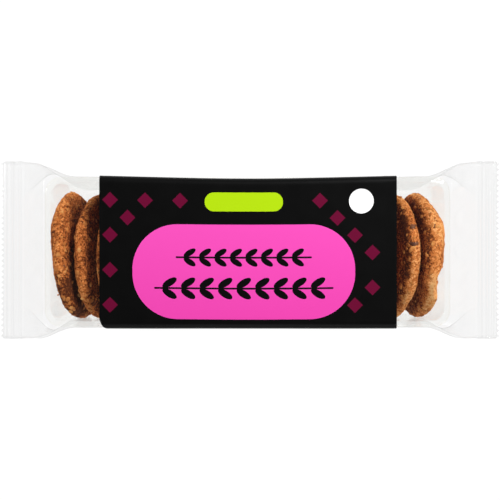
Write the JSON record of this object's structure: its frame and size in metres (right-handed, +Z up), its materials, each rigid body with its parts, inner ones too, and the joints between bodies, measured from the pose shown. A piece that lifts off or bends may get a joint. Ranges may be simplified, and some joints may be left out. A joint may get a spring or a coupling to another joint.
{
  "type": "tray pack of oat and sultana cookies",
  "caption": "Sealed clear flow-wrap pack of oat and sultana cookies standing in a clear tray, with a printed label over the top and one side.",
  "frame": {"origin": "middle of the base, at the height of the surface that the pack lies on", "axes": "+X along the pack, from one end seal to the other; +Y across it, towards the side that the label runs down; +Z up, out of the label's top face"},
  "size_m": [0.2516, 0.0895, 0.0666],
  "materials": {
    "film_wrap": "clear gloss film",
    "label": "satin print"
  },
  "bodies": {
    "root": {"film_wrap": "film_wrap", "label": "label"}
  },
  "joints": []
}
